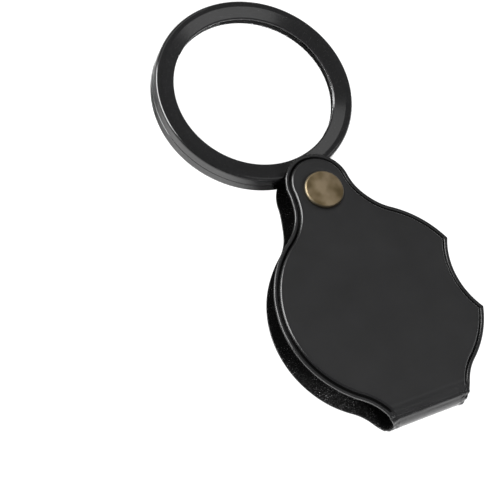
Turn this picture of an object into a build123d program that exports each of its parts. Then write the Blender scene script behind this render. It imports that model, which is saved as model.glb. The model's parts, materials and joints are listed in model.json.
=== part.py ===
from build123d import *
import os
from math import cos, radians, sin, sqrt

# Folding pocket magnifier: a round lens in a black rim that swings out of a padded
# leather case about one brass rivet.
#
# Millimetres. The origin is on the flat outer face of the back panel, at the centre of
# the round part of the case. +Y points from there to the rivet, +X to the thumb notch,
# and +Z from the back panel to the front panel.

# Outline of the case, seen from the front
BODY_R = 31.6  # round part of both flaps, centred on the origin
PIVOT_Y = 37.5  # rivet axis
LOBE_R = 10.0  # ear around the rivet
LOBE_Y = 39.9  # centre of the ear, a little beyond the rivet
WAIST_R = 17.0  # hollow curve from the round part up to the ear
HIP_R = 16.0  # hollow curve from the round part down to the fold
SPINE_HALF_WIDTH = 12.6  # the case is narrowest at the fold
SPINE_Y = -35.5  # outside of the fold
NOTCH_R = 22.85  # thumb notch in the +X side of both flaps
NOTCH_X = 49.1

# Thickness of the case
LINING_T = 0.6
SKIN_T = 0.5
BOARD_T = 0.75
CAVITY_T = 8.3  # clear space between the two linings
FOLD_R = 5.2  # the fold is nearly a half round
CASE_T = CAVITY_T + 2 * (LINING_T + SKIN_T + BOARD_T)  # over the two panels
MID_Z = CASE_T / 2
FLANGE_TOP = CASE_T - BOARD_T  # outside of the front flange
SKIN_INSIDE = FLANGE_TOP - SKIN_T
LINING_INSIDE = SKIN_INSIDE - LINING_T

# Stiffened panels inside the welded edge of each flap
GROOVE_INSET = 1.2  # flat flange outside the welded groove
GROOVE_W = 0.5
GROOVE_DEPTH = 0.25
PANEL_INSET = GROOVE_INSET + GROOVE_W
PANEL_END_Y = -31.4  # lower edge of each panel, above the fold
PANEL_EDGE_R = 0.6
BOARD_MARGIN = 0.7  # leather around the edge of a stiffening board
BOARD_GAP = 0.1
RIVET_DIMPLE_R = 6.6  # leather pressed down around each rivet cap
RIVET_DIMPLE_DEPTH = 0.15

# Double cap rivet
CAP_R = 6.0
CAP_T = 0.3
CAP_H = 1.3
CAP_DOME = 0.2  # rise of the crown over the full width of the cap
CAP_EDGE_R = 0.75
CAP_ROLL_R = 0.25
CAP_MOUTH_R = 4.9  # opening left by the rolled rim
FLANGE_R = 5.6
FLANGE_T = 0.3
POST_R = 2.0
POST_BORE_R = 1.4
POST_TIP_R = 2.6  # tip spread over the socket
POST_TIP_T = 0.3
POST_END_T = 1.0  # solid end of the hollow post
SOCKET_R = 2.5
SOCKET_FIT = 0.02
RIVET_HOLE_GAP = 0.05

# Lens and its two-part rim
RIM_R = 30.2
RIM_T = 7.2
RIM_EDGE_R = 0.9  # rounded outer edges
BEVEL_OUTER_R = 28.1  # dished slope from the flat border down to the lens
BEVEL_INNER_R = 24.8
BEVEL_DEPTH = 0.9
LIP_R = 24.4  # visible opening
LIP_ROUND = 0.2  # small slope from the dish into the opening
CREST_R = 0.3  # softened line between the border and the dish
SEAT_R = 25.05
SEAM = 0.15  # V groove where the two mouldings meet
TONGUE_R = 26.6
TONGUE_W = 1.0
TONGUE_H = 1.0
TONGUE_GAP = 0.05
LENS_R = 25.0
LENS_EDGE_T = 4.2  # a thick edge, so the retaining lips are thin
LENS_LAND = 0.7  # flat ring of the lens that the rims grip
LENS_T = 7.4  # at the centre

# Lug that carries the lens on the rivet
LUG_R = 6.5
LUG_NECK_R = 2.5  # hollow curves from the rim into the lug
LUG_SINK = 0.4  # the hollow curves run into the wall of the rim
LUG_OVERLAP_R = 28.9  # the lug starts inside the border of the rim
BOSS_R = 5.0
BOSS_H = 0.45  # raised bearing face on each side
BORE_R = 2.05
LENS_REACH = 37.8  # from the rivet to the lens axis
OPEN_PAST_STRAIGHT = 5.8  # degrees; the lens at rest is open a little past straight

HALF_TURN = 180
TALL = 4 * CASE_T  # taller than the case, for cuts that go right through


def tangent_centre(r_a, r_b, fillet_r, apart):
    """Centre of an arc that rolls in the corner between two circles, `apart` along +Y."""
    far = r_a + fillet_r
    near = r_b + fillet_r
    y = (far**2 - near**2 + apart**2) / (2 * apart)
    return sqrt(far**2 - y**2), y


def neck(r_a, r_b, fillet_r, apart, inset=0.0):
    """Web between two circles, `apart` along +Y, with hollow sides moved in by `inset`."""
    x, y = tangent_centre(r_a, r_b, fillet_r, apart)
    web = make_face(Polyline((0, 0), (x, y), (0, apart), (-x, y), close=True))
    for side in (-1, 1):
        web -= Pos(side * x, y) * Circle(fillet_r + inset)
    return web


def hips(inset):
    """Web from the round part down to the fold, with hollow sides."""
    x = SPINE_HALF_WIDTH + HIP_R
    y = -sqrt((BODY_R + HIP_R) ** 2 - x**2)
    web = make_face(Polyline((0, 0), (x, y), (-x, y), close=True))
    for side in (-1, 1):
        web -= Pos(side * x, y) * Circle(HIP_R + inset)
    return web


def flap_outline(inset=0.0, end_y=2 * SPINE_Y):
    """Outline of a flap, moved inwards by `inset` and ending at `end_y` at the fold."""
    shape = Circle(BODY_R - inset) + Pos(0, LOBE_Y) * Circle(LOBE_R - inset)
    shape += neck(BODY_R, LOBE_R, WAIST_R, LOBE_Y, inset) + hips(inset)
    shape -= Pos(NOTCH_X, 0) * Circle(NOTCH_R + inset)
    top = LOBE_Y + LOBE_R
    window = Pos(0, (top + end_y) / 2) * Rectangle(4 * BODY_R, top - end_y)
    return shape & window


def slab(sketch, z_low, z_high):
    """A flat plate of the sketch between two heights."""
    return extrude(Pos(0, 0, z_low) * sketch, z_high - z_low)


def folded_block(depth):
    """The closed case as one block, rounded along the fold, `depth` below the skin."""
    low = BOARD_T + depth
    high = FLANGE_TOP - depth
    fold_y = SPINE_Y + depth
    length = 2 * LOBE_Y - fold_y
    block = Pos(0, fold_y + length / 2, MID_Z) * Box(4 * BODY_R, length, high - low)
    corners = block.edges().filter_by(Axis.X).group_by(Axis.Y)[0]
    return fillet(corners, FOLD_R - depth)


def mirror_front_to_back(solid):
    """The same piece on the other face of the case."""
    return mirror(solid, Plane.XY.offset(MID_Z))


def panel():
    """Raised panel on the front flap, with a rounded upper edge."""
    solid = slab(flap_outline(PANEL_INSET, PANEL_END_Y), SKIN_INSIDE, CASE_T)
    upper = solid.edges().group_by(Axis.Z)[-1]
    return fillet(upper, PANEL_EDGE_R)


def board_outline(extra=0.0):
    """Outline of a stiffening board; `extra` makes it smaller."""
    inset = BOARD_MARGIN + extra
    return flap_outline(PANEL_INSET + inset, PANEL_END_Y + inset)


def groove():
    """Welded groove beside the panel of the front flap; it stops short of the fold."""
    ring = flap_outline(GROOVE_INSET, PANEL_END_Y) - flap_outline(PANEL_INSET, PANEL_END_Y)
    return slab(ring, FLANGE_TOP - GROOVE_DEPTH, FLANGE_TOP + GROOVE_DEPTH)


def rivet_hole(radius, z_low, z_high):
    return slab(Pos(0, PIVOT_Y) * Circle(radius), z_low, z_high)


def rivet_holes():
    """Holes through both flaps, for the socket at the front and the post at the back."""
    front = rivet_hole(SOCKET_R + RIVET_HOLE_GAP, MID_Z, TALL)
    return front + rivet_hole(POST_R + RIVET_HOLE_GAP, -TALL, MID_Z)


def leather_cover():
    """One sheet folded round the open end of the case, with a raised panel on each flap."""
    skin = (folded_block(0) - folded_block(SKIN_T)) & slab(flap_outline(), -TALL, TALL)
    raised = panel()
    cuts = slab(board_outline(), SKIN_INSIDE - BOARD_T, CASE_T - SKIN_T)
    cuts += groove()
    cuts += rivet_hole(RIVET_DIMPLE_R, CASE_T - RIVET_DIMPLE_DEPTH, TALL)
    skin = skin + raised + mirror_front_to_back(raised)
    return skin - cuts - mirror_front_to_back(cuts) - rivet_holes()


def lining():
    """Flocked sheet bonded to the inside of the cover."""
    sheet = folded_block(SKIN_T) - folded_block(SKIN_T + LINING_T)
    return (sheet & slab(flap_outline(), -TALL, TALL)) - rivet_holes()


def board(hole_r):
    """Stiffening board of the front flap, between the cover and the lining."""
    plate = slab(board_outline(BOARD_GAP), SKIN_INSIDE, SKIN_INSIDE + BOARD_T)
    return plate - rivet_hole(hole_r + RIVET_HOLE_GAP, SKIN_INSIDE, TALL)


def dome(radius, low, high, edge_r, roll_r):
    """Solid disc with a gently crowned top and rounded rims, about the Z axis."""
    shoulder = high - CAP_DOME
    crown = ThreePointArc((0, high), (radius / 2, high - CAP_DOME / 4), (radius, shoulder))
    section = make_face(crown + Polyline((radius, shoulder), (radius, low), (0, low), (0, high)))
    corners = section.vertices().group_by(Axis.X)[-1].sort_by(Axis.Y)
    section = fillet(corners[-1], edge_r)
    if roll_r:
        corners = section.vertices().group_by(Axis.Y)[0].sort_by(Axis.X)
        section = fillet(corners[-1], roll_r)
    return revolve(Plane.XZ * section, Axis.Z)


def rivet_cap():
    """Low domed cap with a rolled rim, standing on z = 0 about the Z axis."""
    shell = dome(CAP_R, 0, CAP_H, CAP_EDGE_R, CAP_ROLL_R)
    hollow = dome(CAP_R - CAP_T, CAP_T, CAP_H - CAP_T, CAP_EDGE_R - CAP_T, 0)
    return shell - hollow - Cylinder(CAP_MOUTH_R, 2 * CAP_T)


def on_rivet(solid, seat_z):
    return Pos(0, PIVOT_Y, seat_z) * solid


def rivet_socket(seat_z):
    """Flanged tube under the front cap; the post goes through it."""
    flange = Pos(0, 0, CAP_T + FLANGE_T / 2) * Cylinder(FLANGE_R, FLANGE_T)
    height = seat_z + CAP_T - LINING_INSIDE
    tube = Pos(0, 0, CAP_T - height / 2) * Cylinder(SOCKET_R, height)
    return flange + tube - Cylinder(POST_R + SOCKET_FIT, TALL)


def rivet_post(length):
    """Flanged hollow post under the back cap, with its tip spread over the socket."""
    flange = Pos(0, 0, -CAP_T - FLANGE_T / 2) * Cylinder(FLANGE_R, FLANGE_T)
    start = -CAP_T - FLANGE_T
    stem_length = length - start
    stem = Pos(0, 0, start + stem_length / 2) * Cylinder(POST_R, stem_length)
    tip = Pos(0, 0, length + POST_TIP_T / 2) * Cylinder(POST_TIP_R, POST_TIP_T)
    bore_length = stem_length - POST_END_T
    bore = Pos(0, 0, start + bore_length / 2) * Cylinder(POST_BORE_R, bore_length)
    return flange + stem + tip - bore


def rim_half():
    """Front moulding of the rim, about the lens axis, with the seam on z = 0."""
    top = RIM_T / 2
    seat = LENS_EDGE_T / 2
    section = make_face(
        Polyline(
            (SEAT_R, 0),
            (RIM_R - SEAM, 0),
            (RIM_R, SEAM),
            (RIM_R, top),
            (BEVEL_OUTER_R, top),
            (BEVEL_INNER_R, top - BEVEL_DEPTH),
            (LIP_R, top - BEVEL_DEPTH - LIP_ROUND),
            (LIP_R, seat),
            (SEAT_R, seat),
            close=True,
        )
    )
    crest = section.vertices().group_by(Axis.Y)[-1].sort_by(Axis.X)[0]
    section = fillet(crest, CREST_R)
    edge = section.vertices().group_by(Axis.Y)[-1].sort_by(Axis.X)[-1]
    section = fillet(edge, RIM_EDGE_R)
    return revolve(Plane.XZ * section, Axis.Z)


def lug_half():
    """Half of the lug, joined to the lower side of the rim, with its raised boss."""
    eye = Pos(0, LENS_REACH)
    plan = eye * Circle(LUG_R) + neck(RIM_R - LUG_SINK, LUG_R, LUG_NECK_R, LENS_REACH)
    arm = slab(plan - Circle(LUG_OVERLAP_R), 0, RIM_T / 2)
    boss = slab(eye * Circle(BOSS_R), 0, RIM_T / 2 + BOSS_H)
    return Rot(0, 0, HALF_TURN) * (arm + boss)


def tongue(gap):
    """Locating ring between the two mouldings; `gap` makes it larger."""
    outer = Circle(TONGUE_R + TONGUE_W + gap)
    return slab(outer - Circle(TONGUE_R - gap), 0, TONGUE_H + gap)


def rim(is_front):
    half = rim_half() + lug_half()
    half -= slab(Pos(0, -LENS_REACH) * Circle(BORE_R), -TALL, TALL)
    if is_front:
        return half - tongue(TONGUE_GAP)
    return mirror(half, Plane.XY) + tongue(0)


def lens():
    """Biconvex lens with a flat land around its edge."""
    clear_r = LENS_R - LENS_LAND
    rise = (LENS_T - LENS_EDGE_T) / 2
    surface_r = (clear_r**2 + rise**2) / (2 * rise)
    body = Cylinder(LENS_R, LENS_EDGE_T)
    for side in (-1, 1):
        ball = Pos(0, 0, side * (LENS_T / 2 - surface_r)) * Sphere(surface_r)
        cap = ball & (Pos(0, 0, side * LENS_T / 2) * Cylinder(clear_r, LENS_T))
        body += cap
    return body


def on_lens(solid):
    """Place a piece drawn about the lens axis where the opened lens stands."""
    turn = radians(OPEN_PAST_STRAIGHT)
    centre = Pos(-LENS_REACH * sin(turn), PIVOT_Y + LENS_REACH * cos(turn), MID_Z)
    return centre * Rot(0, 0, OPEN_PAST_STRAIGHT) * solid


def build():
    front_seat = CASE_T - RIVET_DIMPLE_DEPTH
    back_seat = RIVET_DIMPLE_DEPTH
    post_length = front_seat - back_seat + CAP_T + FLANGE_T
    front_cap = on_rivet(rivet_cap(), front_seat)
    return {
        "leather_cover": leather_cover(),
        "flocked_lining": lining(),
        "front_board": board(SOCKET_R),
        "back_board": mirror_front_to_back(board(POST_R)),
        "rivet_front_cap": front_cap,
        "rivet_socket": on_rivet(rivet_socket(front_seat), front_seat),
        "rivet_back_cap": mirror_front_to_back(front_cap),
        "rivet_post": on_rivet(rivet_post(post_length), back_seat),
        "rim_front": on_lens(rim(True)),
        "rim_back": on_lens(rim(False)),
        "lens": on_lens(lens()),
    }


os.makedirs("parts", exist_ok=True)
for name, solid in build().items():
    export_step(solid, f"parts/{name}.step")
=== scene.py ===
import json
from math import acos, asin, atan2, cos, pi, radians, sin, sqrt

import bmesh
import bpy
import numpy as np
from mathutils import Matrix, Vector, noise


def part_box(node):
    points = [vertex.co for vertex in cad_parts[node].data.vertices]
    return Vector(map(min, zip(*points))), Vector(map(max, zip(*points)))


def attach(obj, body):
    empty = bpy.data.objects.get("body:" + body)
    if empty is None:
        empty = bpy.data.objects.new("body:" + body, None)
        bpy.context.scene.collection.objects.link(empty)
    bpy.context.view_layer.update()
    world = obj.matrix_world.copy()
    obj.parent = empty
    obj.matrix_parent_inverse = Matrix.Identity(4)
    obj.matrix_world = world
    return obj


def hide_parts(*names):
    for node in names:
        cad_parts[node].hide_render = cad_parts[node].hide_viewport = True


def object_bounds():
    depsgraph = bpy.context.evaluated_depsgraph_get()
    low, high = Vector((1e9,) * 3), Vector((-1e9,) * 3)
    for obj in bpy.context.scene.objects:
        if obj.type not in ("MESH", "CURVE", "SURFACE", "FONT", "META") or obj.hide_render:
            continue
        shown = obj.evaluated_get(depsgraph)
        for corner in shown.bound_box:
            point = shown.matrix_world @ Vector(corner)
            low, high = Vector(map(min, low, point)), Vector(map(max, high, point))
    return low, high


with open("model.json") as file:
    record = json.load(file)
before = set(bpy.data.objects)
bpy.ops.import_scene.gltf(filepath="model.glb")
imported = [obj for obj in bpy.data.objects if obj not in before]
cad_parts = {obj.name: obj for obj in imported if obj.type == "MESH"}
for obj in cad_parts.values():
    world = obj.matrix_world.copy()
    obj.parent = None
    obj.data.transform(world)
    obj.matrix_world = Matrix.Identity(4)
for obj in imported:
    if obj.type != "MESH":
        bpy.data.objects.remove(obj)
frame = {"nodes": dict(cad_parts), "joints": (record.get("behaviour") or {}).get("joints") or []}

# Folding pocket magnifier: the leather cover and its flocked lining are modelled here as one
# folded sheet each. The rim, lens, rivet and boards are the CAD nodes with new materials.
# Lengths are in millimetres until a mesh is made, and heights are above the flat flange. Where a
# length is in metres, a comment says so.

cad_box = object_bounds()
nodes = frame["nodes"]
MM = 0.001

# Outline of the case, as in the CAD cover
BODY_R = 31.6
LOBE_R = 10.0
WAIST_R = 17.0
HIP_R = 16.0
SPINE_HALF_WIDTH = 12.6
NOTCH_R = 22.85
NOTCH_X = 49.1
FOLD_R = 5.2
SKIN_T = 0.5
LINING_T = 0.6
BOARD_T = 0.75
RIVET_HOLE_R = 2.6

cover_low, cover_high = (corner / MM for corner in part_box("leather_cover"))
SPINE_Y = cover_low.y
FOLD_Y = SPINE_Y + FOLD_R
CASE_T = cover_high.z
LOBE_Y = cover_high.y - LOBE_R
FLANGE_TOP = CASE_T - BOARD_T
PIVOT_Y = frame["joints"][0]["pos_m"][1] / MM

# Surface of the cover. Its features are placed by their inset, the distance from the cut edge.
# A pair, here and below, is the stretch over which a feature sets in.
EDGE_ROUND = 0.2
BEAD_AT = 0.5
BEAD_WIDTH = 0.38
BEAD_RISE = 0.2
BEAD_FLATTER = 0.6  # share of its height that the bead loses towards +X
BEAD_FLAT_FROM = (-5, 15)
GROOVE_FROM = 0.8
GROOVE_AT = 1.38
GROOVE_DEPTH = 0.3
PANEL_FROM = 1.42
PANEL_RAMP = 0.85
PANEL_CROWN = 0.1
CROWN_FROM = (3, 5)
POCKET_FROM = (2.2, 2.4)
CRUMPLED_EDGE = (0.6, 3.2)
DIMPLE_EDGE = (6.1, 7.2)  # the slope round the rivet cap, from the rivet's axis
DIMPLE_DEPTH = 0.15
SHEET_GAP = 0.02  # keeps the sheets off each other and off the boards

# Fold. Its features are placed by past_fold: on a flap, how far a point lies beyond the fold, and
# inside the fold, below zero, how far along the skin it lies from the nearer flap.
FOLD_LINES = (  # place, width, depth, seed
    (-0.6, 0.25, 0.05, 13),
    (-3.2, 0.22, 0.10, 11),
    (-5.0, 0.4, 0.09, 17),
)
CRUMPLES = ((0.22, 1.5, 29), (0.12, 0.7, 31))  # height, size, seed
LUMPS = ((0.05, 0.8, 41), (0.05, 2.7, 43))  # the same, for the flock
LUMP_LIMITS = (-0.06, 0.09)
PANEL_FADE = (-2.8, 0.4)
GROOVE_FADE = (-2.2, -0.2)
CRUMPLE_FADE = (-4.5, -1.5)
POCKET_FADE = (-1.0, -0.5)
FOLD_SUNK = 0.45
SUNK_FADE = (-6.5, -0.5)
FOLD_NARROWER = 0.06
NARROWER_FADE = (-7.5, -3.5)

# How this case is out of true
BACK_SHIFT = (0.3, -0.7)  # the back flap was folded a little out of line
BACK_FREE_FROM = (0, 14)
BACK_HELD_FROM = (20, 36)
BACK_NECK_WIDER = 0.9
NECK_Y = 34
NECK_WIDTH = 6
NECK_FROM_MIDDLE = (0, 8)
EAR_SHIFT = -0.3  # both ears lean a little away from the notch
EAR_FROM = (30, 38)
CLEAR_OF_RIVET = (4.5, 7.5)

# How finely each stretch of the outline is divided, from the fold to the top of the ear
STEPS = {"hip": 24, "low": 26, "middle": 38, "high": 24, "waist": 28, "ear": 30}
ACROSS = 44  # columns over the middle of a flap
FOLD_ROWS = 44  # rows round the fold
# Insets of the columns beside the cut edge, closer where the bead and the groove are
COVER_INSETS = (0, 0.05, 0.12, 0.2, 0.32, 0.46, 0.62, 0.78, 0.92, 1.05, 1.17, 1.28, 1.38)
COVER_INSETS += (1.46, 1.54, 1.64, 1.76, 1.9, 2.05, 2.25, 2.45, 2.7, 3.0, 3.4, 4.0)
LINING_INSETS = (0.04, 0.08, 0.16, 0.3, 0.5, 0.75, 1.05, 1.4, 1.8, 2.3, 3.0, 4.0)

# Camera: where it stands, what it looks at, and how far it is rolled
CAMERA_AT = Vector((-334.0, -191.9, 665.9)) * MM
CAMERA_AIM = Vector((-27.782, 32.185, 6.024)) * MM
CAMERA_ROLL = radians(31.07)
CAMERA_LENS = 195.5

# Floor and light
FLOOR_SIZE = 6.0  # metres
FLOOR_BELOW = 0.1  # under the object
WORLD_STRENGTH = 0.21

# Softboxes: name, direction, then distance, width and height in metres, and radiance
SOFTBOXES = (
    ("key_box", (0.30, -0.73, 0.62), 1.4, 0.7, 0.6, 42),
    ("left_box", (-0.62, 0.55, 0.56), 1.3, 1.2, 0.75, 14),
    ("far_box", (0.20, 0.665, 0.72), 1.4, 0.6, 0.45, 1.0),
    ("right_box", (0.43, -0.07, 0.90), 1.4, 0.4, 1.0, 1.1),
)


# ---------------------------------------------------------------- outline of the case


def tangent_centre(r_a, r_b, fillet_r, apart):
    """Centre of an arc that rolls in the corner between two circles, `apart` along +Y."""
    far = r_a + fillet_r
    near = r_b + fillet_r
    y = (far**2 - near**2 + apart**2) / (2 * apart)
    return sqrt(far**2 - y**2), y


HIP = (SPINE_HALF_WIDTH + HIP_R, -sqrt((BODY_R + HIP_R) ** 2 - (SPINE_HALF_WIDTH + HIP_R) ** 2))
WAIST = tangent_centre(BODY_R, LOBE_R, WAIST_R, LOBE_Y)


def arc(centre, radius, start, end, count):
    """Points along an arc, without its last point."""
    angles = np.linspace(start, end, count, endpoint=False)
    return np.column_stack((centre[0] + radius * np.cos(angles), centre[1] + radius * np.sin(angles)))


def flap_side(inset, notched):
    """One side of a flap's outline, moved in by `inset`, from the fold to the top of the ear."""
    body_r = BODY_R - inset
    notch_r = NOTCH_R + inset
    hip_r = HIP_R + inset
    ear_r = LOBE_R - inset
    corner = acos((body_r**2 + NOTCH_X**2 - notch_r**2) / (2 * body_r * NOTCH_X))
    bite = asin(body_r * sin(corner) / notch_r)
    to_hip = atan2(HIP[1], HIP[0])
    to_waist = atan2(WAIST[1], WAIST[0])
    to_ear = atan2(LOBE_Y - WAIST[1], -WAIST[0]) % (2 * pi)
    at_fold = pi - asin((FOLD_Y - HIP[1]) / hip_r)
    if notched:
        middle = arc((NOTCH_X, 0), notch_r, pi + bite, pi - bite, STEPS["middle"])
    else:
        middle = arc((0, 0), body_r, -corner, corner, STEPS["middle"])
    return np.vstack((
        arc(HIP, hip_r, at_fold, to_hip + pi, STEPS["hip"]),
        arc((0, 0), body_r, to_hip, -corner, STEPS["low"]),
        middle,
        arc((0, 0), body_r, corner, to_waist, STEPS["high"]),
        arc(WAIST, WAIST_R + inset, to_waist + pi, to_ear, STEPS["waist"]),
        arc((0, LOBE_Y), ear_r, to_ear - pi, pi / 2, STEPS["ear"]),
        [(0, LOBE_Y + ear_r)],
    ))


def across(right, left):
    """Rows of a grid from the right rails, through the middle, to the left rails."""
    share = np.linspace(0, 1, ACROSS + 2)[1:-1]
    inner_right = right[:, -1:]
    inner_left = left[:, -1:]
    between = inner_right + (inner_left - inner_right) * share.reshape(1, -1, 1)
    return np.concatenate((right, between, left[:, ::-1]), axis=1)


def flap_grid(insets):
    """Plan positions of one flap, row 0 at the fold and the last row at the top of the ear."""
    right = np.stack([flap_side(i, True) for i in insets], axis=1)
    left = np.stack([flap_side(i, False) for i in insets], axis=1)
    left[:, :, 0] *= -1
    return across(right, left)


# ---------------------------------------------------------------- the folded sheet


def fold_section(v):
    """Place and outward direction in the YZ plane, at `v` along the skin from the front flap."""
    quarter = FOLD_R * pi / 2
    face = FLANGE_TOP - BOARD_T - 2 * FOLD_R
    if v <= quarter:
        a = v / FOLD_R
        return FOLD_Y - FOLD_R * sin(a), FLANGE_TOP - FOLD_R * (1 - cos(a)), -sin(a), cos(a)
    if v <= quarter + face:
        return SPINE_Y, FLANGE_TOP - FOLD_R - (v - quarter), -1, 0
    y, z, ny, nz = fold_section(2 * quarter + face - v)
    return y, CASE_T - z, ny, -nz


FOLD_LENGTH = FOLD_R * pi + FLANGE_TOP - BOARD_T - 2 * FOLD_R


def fold_grid(steps, insets):
    """Places and outward directions of the rows that go round the fold."""
    places = []
    outward = []
    for v in steps:
        y, z, ny, nz = fold_section(v)
        rail = [HIP[0] - sqrt((HIP_R + i) ** 2 - (y - HIP[1]) ** 2) for i in insets]
        right = np.column_stack((rail, np.full(len(insets), y)))[None]
        row = across(right, right * (-1, 1))[0]
        places.append(np.column_stack((row, np.full(len(row), z))))
        outward.append(np.tile((0, ny, nz), (len(row), 1)))
    return np.array(places), np.array(outward)


class Sheet:
    """Grid over the whole folded sheet: front flap, fold and back flap, one after the other."""

    def __init__(self, insets):
        plan = flap_grid(insets)
        rows, columns = plan.shape[:2]
        steps = np.linspace(0, FOLD_LENGTH, FOLD_ROWS + 2)[1:-1]
        fold, fold_outward = fold_grid(steps, insets)
        flange = np.full((rows, columns), FLANGE_TOP)
        front = np.dstack((plan, flange))[::-1]
        back = np.dstack((plan, CASE_T - flange))
        self.place = np.concatenate((front, fold, back))
        up = np.zeros((rows, columns, 3))
        up[:, :, 2] = 1
        self.outward = np.concatenate((up, fold_outward, -up))
        side = list(insets) + [insets[-1] + 1] * ACROSS + list(insets)[::-1]
        self.inset = np.tile(side, (len(self.place), 1)).astype(float)
        beyond = plan[:, :, 1] - FOLD_Y
        middle = FOLD_LENGTH / 2
        in_fold = np.tile((np.abs(steps - middle) - middle)[:, None], (1, columns))
        self.past_fold = np.concatenate((beyond[::-1], in_fold, beyond))
        self.is_back = np.zeros(self.place.shape[:2], bool)
        self.is_back[rows + FOLD_ROWS // 2:] = True


def smooth(x, low, high):
    """0 below `low`, 1 above `high`, and a smooth step between."""
    t = np.clip((x - low) / (high - low), 0, 1)
    return t * t * (3 - 2 * t)


def bump(x, at, width):
    """1 at `at`, falling to 0 on both sides."""
    return np.exp(-(((x - at) / width) ** 2))


def waves(sheet, scale, seed):
    """Smooth noise over the sheet, about -1 to 1, with features about `scale` wide."""
    flat = sheet.place.reshape(-1, 3) / scale
    values = [noise.noise(Vector(p) + Vector((seed, -seed, 2 * seed))) for p in flat]
    return 2 * np.array(values).reshape(sheet.place.shape[:2])


def rough(sheet, layers):
    """Sum of waves, each given as its height, size and seed."""
    return sum(height * waves(sheet, size, seed) for height, size, seed in layers)


def edge_round(inset, radius):
    """Height of a rounded edge, below zero because it falls away from the face."""
    short = np.clip(1 - inset / radius, 0, 1)
    return -radius * (1 - np.sqrt(1 - short**2))


def from_rivet(sheet):
    """Distance from the rivet's axis on the flaps, and far away on the fold."""
    flat = np.hypot(sheet.place[:, :, 0], sheet.place[:, :, 1] - PIVOT_Y)
    return np.where(sheet.past_fold > 0, flat, 4 * BODY_R)


def creases(sheet):
    """Depth of the soft lines that folding has left beside the fold."""
    lines = 0
    for at, width, depth, seed in FOLD_LINES:
        lines += depth * bump(sheet.past_fold, at, width) * (1 + 0.6 * waves(sheet, 4, seed))
    return lines


def crumples(sheet):
    """Small tucks where the ends of the fold are crushed together."""
    at_fold = 1 - smooth(sheet.past_fold, *CRUMPLE_FADE)
    near_end = 1 - smooth(sheet.inset, *CRUMPLED_EDGE)
    return at_fold * near_end * rough(sheet, CRUMPLES)


def cover_outside(sheet):
    """Height of the cover's outer face: edge bead, welded groove, panel, creases and fold."""
    inset = sheet.inset
    panel_on = smooth(sheet.past_fold, *PANEL_FADE)
    groove_on = smooth(sheet.past_fold, *GROOVE_FADE)
    pressed = 1 - BEAD_FLATTER * smooth(sheet.place[:, :, 0], *BEAD_FLAT_FROM)
    bead = BEAD_RISE * pressed * bump(inset, BEAD_AT, BEAD_WIDTH) * (1 + 0.25 * waves(sheet, 5, 3))
    groove = smooth(inset, GROOVE_FROM, GROOVE_AT)
    groove *= 1 - smooth(inset, GROOVE_AT, GROOVE_AT + PANEL_RAMP)
    climb = np.clip((inset - PANEL_FROM) / PANEL_RAMP, 0, 1)
    middle = 1 - (sheet.place[:, :, 0] / BODY_R) ** 2 - (sheet.place[:, :, 1] / BODY_R) ** 2
    height = edge_round(inset, EDGE_ROUND) + (bead - GROOVE_DEPTH * groove) * groove_on
    height += BOARD_T * np.sqrt(1 - (1 - climb) ** 2) * panel_on
    height += PANEL_CROWN * np.clip(middle, 0, 1) * panel_on * smooth(inset, *CROWN_FROM)
    height -= DIMPLE_DEPTH * (1 - smooth(from_rivet(sheet), *DIMPLE_EDGE))
    height += crumples(sheet) - creases(sheet)
    swell = 0.012 * waves(sheet, 9, 5) * smooth(inset, 2.5, 5)
    ripple = 0.008 * waves(sheet, 1.5, 7)
    return height + swell + ripple


def cover_inside(sheet):
    """Height of the cover's inner face, with a pocket for the board in each flap."""
    pocket = smooth(sheet.inset, *POCKET_FROM) * smooth(sheet.past_fold, *POCKET_FADE)
    roof = BOARD_T - SKIN_T + SHEET_GAP
    return -SKIN_T - edge_round(sheet.inset, EDGE_ROUND) * 0.5 + pocket * (roof + SKIN_T)


def lining_outside(sheet):
    """Height of the lining's face against the cover."""
    return -SKIN_T - SHEET_GAP + edge_round(sheet.inset, EDGE_ROUND) * 0.3


def lining_inside(sheet):
    """Height of the flocked face, with a soft edge and small lumps."""
    flock = -SKIN_T - LINING_T - edge_round(sheet.inset, 2 * EDGE_ROUND)
    return flock + np.clip(rough(sheet, LUMPS), *LUMP_LIMITS)


def placed(sheet, height):
    """Places of the grid at a height, with the fold crushed and the ears and back flap shifted."""
    points = sheet.place + sheet.outward * height[:, :, None]
    x, y = sheet.place[:, :, 0], sheet.place[:, :, 1]
    points[:, :, 0] *= 1 - FOLD_NARROWER * (1 - smooth(sheet.past_fold, *NARROWER_FADE))
    points[:, :, 1] += FOLD_SUNK * (1 - smooth(sheet.past_fold, *SUNK_FADE))
    neck = bump(y, NECK_Y, NECK_WIDTH) * smooth(-x, *NECK_FROM_MIDDLE)
    points[:, :, 0] -= BACK_NECK_WIDER * neck * sheet.is_back * (sheet.past_fold > 0)
    free = smooth(sheet.past_fold, *BACK_FREE_FROM) * (1 - smooth(y, *BACK_HELD_FROM))
    points[:, :, :2] += (free * sheet.is_back)[:, :, None] * BACK_SHIFT
    ear = smooth(y, *EAR_FROM) * smooth(from_rivet(sheet), *CLEAR_OF_RIVET)
    points[:, :, 0] += EAR_SHIFT * ear
    return points


def grid_faces(rows, columns):
    """Four-sided faces over a grid of points."""
    index = np.arange(rows * columns).reshape(rows, columns)
    return np.stack((index[:-1, :-1], index[1:, :-1], index[1:, 1:], index[:-1, 1:]), -1).reshape(-1, 4)


def side_faces(rows, columns, second):
    """Faces that close the cut edge, between the outer and the inner grid."""
    faces = []
    for column in (0, columns - 1):
        rail = (np.arange(rows) * columns + column).tolist()
        faces += [(a, b, b + second, a + second) for a, b in zip(rail[:-1], rail[1:])]
    return faces


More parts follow.
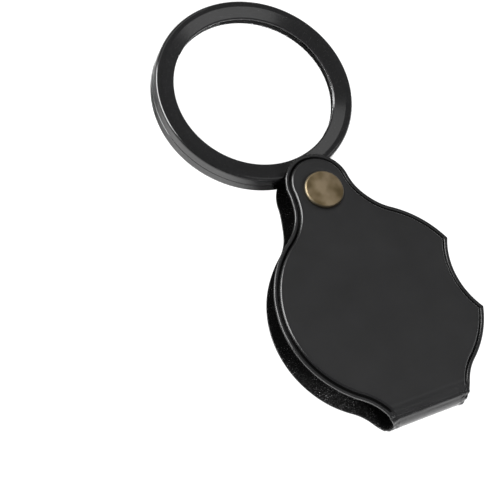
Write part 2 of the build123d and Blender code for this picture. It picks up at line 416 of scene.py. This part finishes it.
def open_rivet_hole(points, faces, sheet, second):
    """Takes out the faces at the rivet, makes the hole round and builds its wall."""
    at_rivet = from_rivet(sheet).reshape(-1) < RIVET_HOLE_R
    kept = [face for face in faces if not at_rivet[face].any()]
    used = {}
    for face in faces:
        if at_rivet[face].any():
            for edge in zip(face, face[1:] + face[:1]):
                used.setdefault(frozenset(edge), []).append(edge)
    rim = [edges[0] for edges in used.values() if len(edges) == 1]
    for vertex in {v for edge in rim for v in edge}:
        for offset in (0, second):
            x, y = points[vertex + offset][:2]
            scale = RIVET_HOLE_R / np.hypot(x, y - PIVOT_Y)
            points[vertex + offset][:2] = (x * scale, PIVOT_Y + (y - PIVOT_Y) * scale)
    wall = [(a, b, b + second, a + second) for a, b in rim]
    return kept, wall


def sheet_object(name, insets, outside, inside, material):
    """A closed thin sheet, folded round the open end of the case, with a hole for the rivet."""
    sheet = Sheet(insets)
    rows, columns = sheet.place.shape[:2]
    second = rows * columns
    outer = placed(sheet, outside(sheet)).reshape(-1, 3)
    inner = placed(sheet, inside(sheet)).reshape(-1, 3)
    points = np.vstack((outer, inner))
    kept, wall = open_rivet_hole(points, grid_faces(rows, columns).tolist(), sheet, second)
    faces = kept + [[v + second for v in reversed(face)] for face in kept]
    faces += wall + side_faces(rows, columns, second)
    mesh = bpy.data.meshes.new(name)
    mesh.from_pydata((points * MM).tolist(), [], faces)
    for measure, values in (("inset", sheet.inset), ("past_fold", sheet.past_fold)):
        layer = mesh.attributes.new(measure, "FLOAT", "POINT")
        layer.data.foreach_set("value", np.tile(values.reshape(-1), 2))
    clean(mesh)
    mesh.materials.append(material)
    piece = bpy.data.objects.new(name, mesh)
    bpy.context.scene.collection.objects.link(piece)
    return piece


def clean(mesh):
    """Merges the points that coincide, drops the loose ones and turns the normals outwards."""
    work = bmesh.new()
    work.from_mesh(mesh)
    bmesh.ops.remove_doubles(work, verts=work.verts, dist=0.002 * MM)
    loose = [v for v in work.verts if not v.link_faces]
    bmesh.ops.delete(work, geom=loose, context="VERTS")
    bmesh.ops.recalc_face_normals(work, faces=work.faces)
    for face in work.faces:
        face.smooth = True
    work.to_mesh(mesh)
    work.free()


# ---------------------------------------------------------------- materials


class Shader:
    """A node material with one Principled shader, and short calls to add to it."""

    def __init__(self, name):
        self.material = bpy.data.materials.new(name)
        self.material.use_nodes = True
        self.tree = self.material.node_tree
        self.main = self.tree.nodes["Principled BSDF"]
        where = self.tree.nodes.new("ShaderNodeTexCoord")
        self.place = where.outputs["Object"]
        axes = self.node("SeparateXYZ", Vector=where.outputs["Normal"])
        self.upright = self.maths("ABSOLUTE", axes.outputs["Z"])

    def set(self, **values):
        """Constant values on the shader's own sockets; _ stands for a space."""
        for key, value in values.items():
            self.main.inputs[key.replace("_", " ")].default_value = value

    def feed(self, socket, value):
        """Links an output to the socket, or sets a constant on it."""
        if isinstance(value, bpy.types.NodeSocket):
            self.tree.links.new(value, socket)
        else:
            socket.default_value = value

    def node(self, kind, **inputs):
        made = self.tree.nodes.new("ShaderNode" + kind)
        for key, value in inputs.items():
            self.feed(made.inputs[key.replace("_", " ")], value)
        return made

    def link(self, output, socket):
        self.tree.links.new(output, self.main.inputs[socket])

    def noise(self, size, detail=4, roughness=0.55):
        """Noise whose features are about `size` mm across."""
        made = self.node("TexNoise", Vector=self.place, Scale=1 / (size * MM), Detail=detail,
                         Roughness=roughness)
        return made.outputs["Fac"]

    def cells(self, size):
        """Distance to the nearest of scattered points, about `size` mm apart."""
        return self.node("TexVoronoi", Vector=self.place, Scale=1 / (size * MM)).outputs["Distance"]

    def attribute(self, name):
        made = self.node("Attribute")
        made.attribute_name = name
        return made.outputs["Fac"]

    def steps(self, value, *stops):
        """Value to grey or colour through stops of (position, level or colour)."""
        made = self.node("ValToRGB", Fac=value)
        ramp = made.color_ramp
        while len(ramp.elements) < len(stops):
            ramp.elements.new(0.5)
        for element, (position, level) in zip(ramp.elements, stops):
            element.position = position
            element.color = (*level, 1) if hasattr(level, "__len__") else (level,) * 3 + (1,)
        return made.outputs["Color"]

    def range(self, value, from_low, from_high, to_low, to_high):
        """Value scaled from one range to another, and held inside it."""
        made = self.node("MapRange", Value=value, From_Min=from_low, From_Max=from_high,
                         To_Min=to_low, To_Max=to_high)
        return made.outputs["Result"]

    def maths(self, operation, a, b=0.0):
        made = self.node("Math")
        made.operation = operation
        for socket, value in zip(made.inputs, (a, b)):
            self.feed(socket, value)
        return made.outputs[0]

    def mix(self, share, a, b):
        """Colour a, turning into colour b as the share goes from 0 to 1."""
        made = self.node("Mix")
        made.data_type = "RGBA"
        for key, value in (("Factor_Float", share), ("A_Color", a), ("B_Color", b)):
            socket = next(s for s in made.inputs if s.identifier == key)
            self.feed(socket, (*value, 1) if isinstance(value, tuple) else value)
        return next(s for s in made.outputs if s.identifier == "Result_Color")

    def blend(self, share, first, second):
        """One shader, turning into another as the share goes from 0 to 1."""
        made = self.node("MixShader")
        for socket, value in zip(made.inputs, (share, first, second)):
            self.feed(socket, value)
        return made.outputs[0]

    def output(self, shader):
        self.feed(self.tree.nodes["Material Output"].inputs["Surface"], shader)

    def bumps(self, *layers):
        """Layers of (height, strength, depth in mm), each on top of the one before."""
        last = None
        for height, strength, depth in layers:
            made = self.node("Bump", Height=height, Strength=strength, Distance=depth * MM)
            if last:
                self.tree.links.new(last, made.inputs["Normal"])
            last = made.outputs["Normal"]
        self.link(last, "Normal")


def leather():
    """Satin black leather: fine grain, cloudy gloss, burnished edges and a little dust."""
    s = Shader("cover_leather")
    cloud = s.noise(11, detail=3)
    pore = s.cells(0.42)
    fine = s.noise(0.16, detail=3)
    inset = s.attribute("inset")
    edge = s.range(inset, 0.0, 0.3, 1.0, 0.0)
    colour = s.mix(cloud, (0.0045, 0.0045, 0.0047), (0.0075, 0.0075, 0.0079))
    rubbed = s.mix(s.maths("MULTIPLY", edge, s.noise(1.2)), colour, (0.04, 0.04, 0.04))
    dust = s.steps(s.noise(0.22, detail=2), (0.73, 0), (0.79, 1))
    dusty = s.mix(s.maths("MULTIPLY", dust, 0.35), rubbed, (0.12, 0.12, 0.12))
    # Painted shade: along the welded groove, away from the fold, the leather is made darker and
    # reflects less.
    off_groove = s.maths("ABSOLUTE", s.maths("SUBTRACT", inset, GROOVE_AT - 0.1))
    open_groove = s.maths("GREATER_THAN", s.attribute("past_fold"), -1.0)
    groove_painted_shade = s.maths("MULTIPLY", s.range(off_groove, 0.22, 0.4, 1.0, 0.0), open_groove)
    s.link(s.mix(groove_painted_shade, dusty, (0.002, 0.002, 0.002)), "Base Color")
    s.link(s.range(groove_painted_shade, 0.0, 1.0, 0.5, 0.05), "Specular IOR Level")
    satin = s.range(cloud, 0.3, 0.7, 0.41, 0.46)
    burnished = s.maths("MAXIMUM", s.range(inset, 1.9, 2.8, 1.0, 0.0),
                        s.range(s.attribute("past_fold"), -3.0, -1.0, 1.0, 0.0))
    s.link(s.maths("SUBTRACT", satin, s.maths("MULTIPLY", burnished, 0.17)), "Roughness")
    s.bumps((s.noise(2.4, detail=2), 0.05, 0.08), (pore, 0.12, 0.03), (fine, 0.16, 0.015))
    s.set(IOR=1.5)
    return s.material


def flock():
    """Black flock: matt, velvety fibres with specks of pale dust caught in them."""
    s = Shader("lining_flock")
    fibre = s.noise(0.15, detail=5, roughness=0.7)
    clump = s.noise(1.3, detail=3)
    colour = s.mix(clump, (0.0008, 0.0008, 0.0008), (0.005, 0.005, 0.005))
    grey = s.steps(s.noise(0.33, detail=3, roughness=0.65), (0.52, 0), (0.62, 1))
    lint = s.mix(s.maths("MULTIPLY", grey, 0.5), colour, (0.05, 0.05, 0.05))
    speck = s.steps(s.noise(0.3, detail=2, roughness=0.6), (0.65, 0), (0.69, 1))
    patch = s.steps(s.noise(3.0, detail=2), (0.40, 0), (0.58, 1))
    s.link(s.mix(s.maths("MULTIPLY", speck, patch), lint, (0.38, 0.38, 0.38)), "Base Color")
    s.link(s.range(clump, 0.3, 0.7, 0.82, 0.97), "Roughness")
    s.bumps((clump, 0.6, 0.3), (fibre, 1.0, 0.15))
    s.set(Sheen_Weight=0.02, Sheen_Roughness=0.5, Specular_IOR_Level=0.05)
    return s.material


def brass():
    """Antique brass: tan patina, softly mottled, with painted shade darkening its rolled rim."""
    s = Shader("antique_brass")
    patina = s.noise(5.0, detail=2, roughness=0.45)
    spots = s.noise(0.5, detail=3)
    colour = s.steps(patina, (0.36, (0.188, 0.140, 0.074)), (0.5, (0.267, 0.203, 0.117)),
                     (0.64, (0.356, 0.280, 0.180)))
    spotted = s.mix(s.steps(spots, (0.58, 0), (0.76, 0.35)), colour, (0.24, 0.19, 0.11))
    # Painted shade: the colour darkens where the surface turns away from upright, down the rolled rim.
    rim_painted_shade = s.range(s.upright, 0.80, 0.97, 1.0, 0.0)
    s.link(s.mix(rim_painted_shade, spotted, (0.15, 0.125, 0.085)), "Base Color")
    s.link(s.range(patina, 0.3, 0.7, 0.38, 0.5), "Roughness")
    s.bumps((patina, 0.15, 0.06), (spots, 0.10, 0.02), (s.noise(0.07, detail=2), 0.06, 0.01))
    s.set(Metallic=1.0)
    return s.material


def plastic():
    """Gloss black moulding with faint flow marks, hairline scuffs and dust."""
    s = Shader("rim_plastic")
    flow = s.noise(6, detail=3)
    scuff = s.noise(0.3, detail=6, roughness=0.7)
    colour = s.mix(flow, (0.003, 0.003, 0.0032), (0.006, 0.006, 0.0065))
    haze = s.steps(s.noise(0.34, detail=4, roughness=0.7), (0.54, 0), (0.70, 1))
    dusty = s.mix(s.maths("MULTIPLY", haze, 0.3), colour, (0.05, 0.05, 0.05))
    dust = s.steps(s.noise(0.24, detail=2), (0.71, 0), (0.76, 1))
    s.link(s.mix(s.maths("MULTIPLY", dust, 0.6), dusty, (0.22, 0.22, 0.22)), "Base Color")
    s.link(s.range(scuff, 0.35, 0.7, 0.08, 0.22), "Roughness")
    s.bumps((flow, 0.06, 0.06), (s.noise(0.5, detail=3), 0.25, 0.02), (scuff, 0.1, 0.012))
    s.set(IOR=1.58)
    return s.material


def board():
    """Grey board made from pressed fibre."""
    s = Shader("stiffening_board")
    fibre = s.noise(0.5, detail=6, roughness=0.7)
    s.link(s.mix(fibre, (0.22, 0.20, 0.17), (0.42, 0.39, 0.34)), "Base Color")
    s.link(s.range(fibre, 0.3, 0.7, 0.8, 0.95), "Roughness")
    s.bumps((fibre, 0.4, 0.08))
    return s.material


def glass():
    """Clear lens that lets lamps through, with painted shade: its edge is black where the rim grips it.
    """
    s = Shader("lens_glass")
    s.set(Base_Color=(1, 1, 1, 1), Transmission_Weight=1.0, IOR=1.5)
    s.link(s.range(s.noise(3, detail=3), 0.4, 0.8, 0.0, 0.02), "Roughness")
    clear = s.node("BsdfTransparent")
    path = s.node("LightPath")
    black = s.node("BsdfDiffuse", Color=(0.004, 0.004, 0.004, 1))
    lit = s.blend(path.outputs["Is Shadow Ray"], s.main.outputs[0], clear.outputs[0])
    # Painted shade: where the surface faces sideways, on the lens's edge, the glass turns to black
    # diffuse.
    edge_painted_shade = s.range(s.upright, 0.3, 0.5, 1.0, 0.0)
    s.output(s.blend(edge_painted_shade, lit, black.outputs[0]))
    return s.material


def studio_paper():
    """White paper sweep, over-lit as seen, so that it keeps no shadow in the picture."""
    s = Shader("floor_paper")
    tone = s.noise(40, detail=2)
    s.link(s.mix(tone, (0.86, 0.86, 0.86), (0.90, 0.90, 0.90)), "Base Color")
    s.set(Roughness=0.9, Specular_IOR_Level=0.0)
    path = s.node("LightPath")
    seen = s.maths("MAXIMUM", path.outputs["Is Camera Ray"], path.outputs["Is Transmission Ray"])
    white = s.node("Emission", Color=(1, 1, 1, 1), Strength=1.2)
    s.output(s.blend(seen, s.main.outputs[0], white.outputs[0]))
    return s.material


def give(material, *names):
    """Puts a material on CAD nodes, which keep their meshes."""
    for name in names:
        for slot in nodes[name].material_slots:
            slot.material = material


# ---------------------------------------------------------------- camera, floor and light


def make_camera():
    data = bpy.data.cameras.new("camera")
    data.lens = CAMERA_LENS
    data.sensor_width = 36
    data.clip_start = 0.01
    data.clip_end = 20
    camera = bpy.data.objects.new("camera", data)
    bpy.context.scene.collection.objects.link(camera)
    aim = (CAMERA_AIM - CAMERA_AT).to_track_quat("-Z", "Y")
    camera.matrix_world = (
        Matrix.Translation(CAMERA_AT)
        @ aim.to_matrix().to_4x4()
        @ Matrix.Rotation(CAMERA_ROLL, 4, "Z")
    )
    bpy.context.scene.camera = camera


def make_floor():
    below = cad_box[0][2] - FLOOR_BELOW * MM
    bpy.ops.mesh.primitive_plane_add(size=FLOOR_SIZE, location=(0, 0, below))
    floor = bpy.context.object
    floor.name = "floor"
    floor.data.materials.append(studio_paper())


def softbox(name, towards, away, width, height, radiance):
    """Rectangular softbox `away` metres off in a direction, as bright as `radiance`."""
    data = bpy.data.lights.new(name, "AREA")
    data.shape = "RECTANGLE"
    data.size = width
    data.size_y = height
    data.energy = radiance * pi * width * height
    light = bpy.data.objects.new(name, data)
    bpy.context.scene.collection.objects.link(light)
    light.location = Vector(towards).normalized() * away
    light.rotation_euler = light.location.to_track_quat("Z", "Y").to_euler()
    return light


def make_light():
    world = bpy.data.worlds.new("world")
    bpy.context.scene.world = world
    world.use_nodes = True
    background = world.node_tree.nodes["Background"]
    background.inputs["Color"].default_value = (1, 1, 1, 1)
    background.inputs["Strength"].default_value = WORLD_STRENGTH
    boxes = {name: softbox(name, *rest) for name, *rest in SOFTBOXES}
    boxes["key_box"].visible_glossy = False
    boxes["left_box"].visible_diffuse = False
    bpy.context.scene.view_settings.view_transform = "Standard"


# ---------------------------------------------------------------- the object

make_camera()
make_floor()
make_light()

cover = sheet_object("cover", COVER_INSETS, cover_outside, cover_inside, leather())
lining = sheet_object("flocking", LINING_INSETS, lining_outside, lining_inside, flock())
for piece, node, finish in ((cover, "leather_cover", "cover_leather"),
                            (lining, "flocked_lining", "lining_flock")):
    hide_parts(node)
    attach(piece, "case")

give(brass(), "rivet_front_cap", "rivet_socket", "rivet_back_cap", "rivet_post")
give(plastic(), "rim_front", "rim_back")
give(board(), "front_board", "back_board")
give(glass(), "lens")
